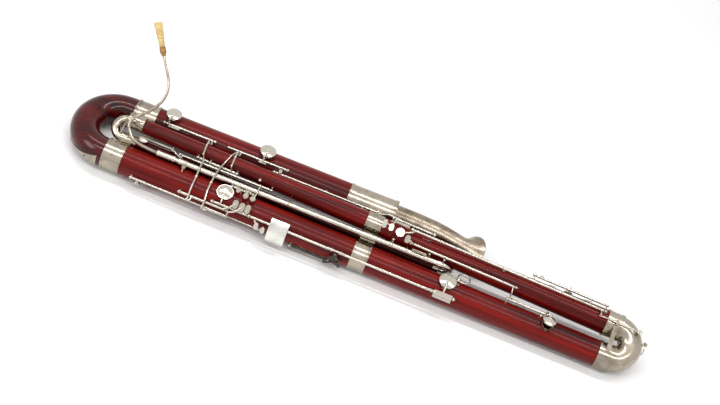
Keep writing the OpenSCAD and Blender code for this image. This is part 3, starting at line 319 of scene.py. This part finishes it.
def add_lathe(bm, at, turn, profile, around=24):
    """Turned shape about the local Z: profile is a list of (radius, height), closed on the axis."""
    rows = []
    for r, h in profile:
        if r == 0:
            rows.append([bm.verts.new(at + turn @ Vector((0, 0, h)))] * around)
        else:
            rows.append([bm.verts.new(at + turn @ Vector((r * math.cos(2 * math.pi * i / around),
                                                          r * math.sin(2 * math.pi * i / around), h)))
                         for i in range(around)])
    for a, b in zip(rows, rows[1:]):
        for i in range(around):
            k = (i + 1) % around
            corners = []
            for v in (a[i], a[k], b[k], b[i]):
                if v not in corners:
                    corners.append(v)
            if len(corners) > 2:
                bm.faces.new(corners)


def add_slotted(bm, at, axis, r=0.0019, h=0.0009):
    """Screw head: a low turned base and two half-moon cheeks with the slot between them."""
    turn = frame_for(axis)
    add_lathe(bm, at, turn, [(0, -0.0004), (r, -0.0004), (r, h * 0.45), (0, h * 0.45)])
    slot = r * 0.17
    for sgn in (-1, 1):
        low = []
        a0 = math.asin(slot / r)
        for i in range(13):
            a = a0 + (math.pi - 2 * a0) * i / 12
            low.append(Vector((r * 0.96 * math.cos(a), sgn * r * 0.96 * math.sin(a), 0)))
        bottom = [bm.verts.new(at + turn @ (q + Vector((0, 0, h * 0.4)))) for q in low]
        top = [bm.verts.new(at + turn @ (q * 0.92 + Vector((0, 0, h)))) for q in low]
        bm.faces.new(top)
        bm.faces.new(bottom)
        for i in range(13):
            k = (i + 1) % 13
            bm.faces.new((bottom[i], bottom[k], top[k], top[i]))


def piece(name, bm, mat, body, smooth=True):
    bmesh.ops.recalc_face_normals(bm, faces=bm.faces)
    me = bpy.data.meshes.new(name)
    bm.to_mesh(me)
    bm.free()
    for f in me.polygons:
        f.use_smooth = smooth
    o = bpy.data.objects.new(name, me)
    scene.collection.objects.link(o)
    me.materials.append(mat)
    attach(o, body)
    return o


# slotted pivot screws in the outer faces of the posts, one at each end of every rod
post_nodes = [nodes_by_name[n] for n in ("bass_posts", "third_posts", "narrow_joint_posts")]
heads = bmesh.new()
outside = 0.012
for pts in welded("hinge_rods"):
    a, b = ends(pts)
    for (c, r), d in ((a, (a[0] - b[0]).normalized()), (b, (b[0] - a[0]).normalized())):
        start = c + d * outside
        hit_at = c
        for o in post_nodes:
            inv = o.matrix_world.inverted()
            ok, where, normal, face = o.ray_cast(inv @ start, (inv.to_3x3() @ -d).normalized(), distance=0.02)
            if ok:
                w = o.matrix_world @ where
                if (w - c).dot(d) > (hit_at - c).dot(d):
                    hit_at = w
        add_slotted(heads, hit_at, d)
piece("pivot_screws", heads, steel, "instrument", False)

# turned beads on the ends of the ferrules and bands
beads = bmesh.new()
for n in ("bass_top_ferrule", "third_top_ferrule", "middle_bands", "bell_socket"):
    for pts in welded(n):
        a, b = ends(pts)
        axis = (b[0] - a[0]).normalized()
        if b[0].x - a[0].x < 0.012 or min(a[1], b[1]) < 0.02:
            continue
        for (c, r), d in ((a, axis), (b, -axis)):
            add_ring(beads, c + d * 0.0016, frame_for(axis), r, r, 0.0006)
            add_ring(beads, c + d * 0.0042, frame_for(axis), r, r, 0.0003)
piece("ferrule_beads", beads, fitting, "instrument")

# three wires round the lower part of the reed
blade_pts = [p for g in welded("reed_blades") for p in g]
bind_mid = centre_of([p for g in welded("reed_binding") for p in g])
far = sorted(blade_pts, key=lambda p: (p - bind_mid).length)[-40:]
reed_axis = (centre_of(far) - bind_mid).normalized()
widest = max(far, key=lambda p: ((p - centre_of(far)) - reed_axis * (p - centre_of(far)).dot(reed_axis)).length)
wide = widest - centre_of(far)
turn = frame_for(reed_axis, wide - reed_axis * wide.dot(reed_axis))
low = min((p - bind_mid).dot(reed_axis) for p in blade_pts)
blade_length = 0.051
blade_radius = 0.0052
wires = bmesh.new()
for up in (0.0035, 0.009, 0.0165):
    k = up / blade_length
    add_ring(wires, bind_mid + reed_axis * (low + 0.001 + up), turn, blade_radius * (1 + 0.85 * k) + 0.0002,
             blade_radius * (1 - 0.82 * k) + 0.0006, 0.0004, 48, 8)
piece("reed_wires", wires, stay, "tuning_slide")

# rolled bead on the rim of the bell
bell_pts = [p for g in welded("bell") for p in g]
mouth_dir = Vector((0.75, 0.25, -0.61)).normalized()
reach = max(p.dot(mouth_dir) for p in bell_pts)
lip = [p for p in bell_pts if reach - p.dot(mouth_dir) < 0.0012]
if len(lip) > 20:
    mid = centre_of(lip)
    size = sum((p - mid).length for p in lip) / len(lip)
    rim = bmesh.new()
    add_ring(rim, mid, frame_for(mouth_dir), size, size, 0.0011, 96, 12)
    piece("bell_rim_bead", rim, fitting, "instrument")

# stage
def area(name, place, aim, size_x, size_y, power, spread=math.pi):
    d = bpy.data.lights.new(name, "AREA")
    d.shape = "RECTANGLE"
    d.size = size_x
    d.size_y = size_y
    d.energy = power
    d.spread = spread
    o = bpy.data.objects.new(name, d)
    scene.collection.objects.link(o)
    o.location = place
    o.rotation_euler = (Vector(place) - Vector(aim)).to_track_quat("Z", "Y").to_euler()
    return o


def polar(elevation, distance):
    e = math.radians(elevation)
    return (0, -math.cos(e) * distance, math.sin(e) * distance)


area("strip_front", polar(68, 2.6), (0, 0, 0), 3.6, 0.14, 26)
area("strip_back", polar(103, 2.6), (0, 0, 0), 3.6, 0.16, 30)
area("fill_left", (-2.4, -1.6, 1.8), (0, 0, 0), 1.2, 1.2, 22)

floor_mesh = bpy.data.meshes.new("floor")
floor_mesh.from_pydata([(-30, -30, 0), (30, -30, 0), (30, 30, 0), (-30, 30, 0)], [], [(0, 1, 2, 3)])
floor = bpy.data.objects.new("floor", floor_mesh)
scene.collection.objects.link(floor)
floor.location.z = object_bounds()[0][2] - 0.0005
fm, ft, fb = new_material("floor_paper")
fn = noise(ft, 3, (1, 1, 1), 3)
ft.links.new(ramp(ft, fn, [(0.3, lin(250, 250, 250)), (0.7, lin(254, 254, 254))]), fb.inputs["Base Color"])
fb.inputs["Roughness"].default_value = 0.9
fb.inputs["Specular IOR Level"].default_value = 0.0
floor_mesh.materials.append(fm)

world = bpy.data.worlds.new("studio")
scene.world = world
world.use_nodes = True
wt = world.node_tree
wt.nodes.clear()
out = wt.nodes.new("ShaderNodeOutputWorld")
path = wt.nodes.new("ShaderNodeLightPath")
seen = wt.nodes.new("ShaderNodeMath")
seen.operation = "MAXIMUM"
wt.links.new(path.outputs["Is Camera Ray"], seen.inputs[0])
wt.links.new(path.outputs["Is Glossy Ray"], seen.inputs[1])
seen2 = wt.nodes.new("ShaderNodeMath")
seen2.operation = "MAXIMUM"
wt.links.new(seen.outputs[0], seen2.inputs[0])
wt.links.new(path.outputs["Is Transmission Ray"], seen2.inputs[1])
dim = wt.nodes.new("ShaderNodeBackground")
dim.inputs["Color"].default_value = (1, 1, 1, 1)
dim.inputs["Strength"].default_value = 0.55
plain = wt.nodes.new("ShaderNodeBackground")
plain.inputs["Color"].default_value = (1, 1, 1, 1)
plain.inputs["Strength"].default_value = 1.0
pick = wt.nodes.new("ShaderNodeMixShader")
wt.links.new(seen2.outputs[0], pick.inputs["Fac"])
wt.links.new(dim.outputs[0], pick.inputs[1])
wt.links.new(plain.outputs[0], pick.inputs[2])
wt.links.new(pick.outputs[0], out.inputs["Surface"])
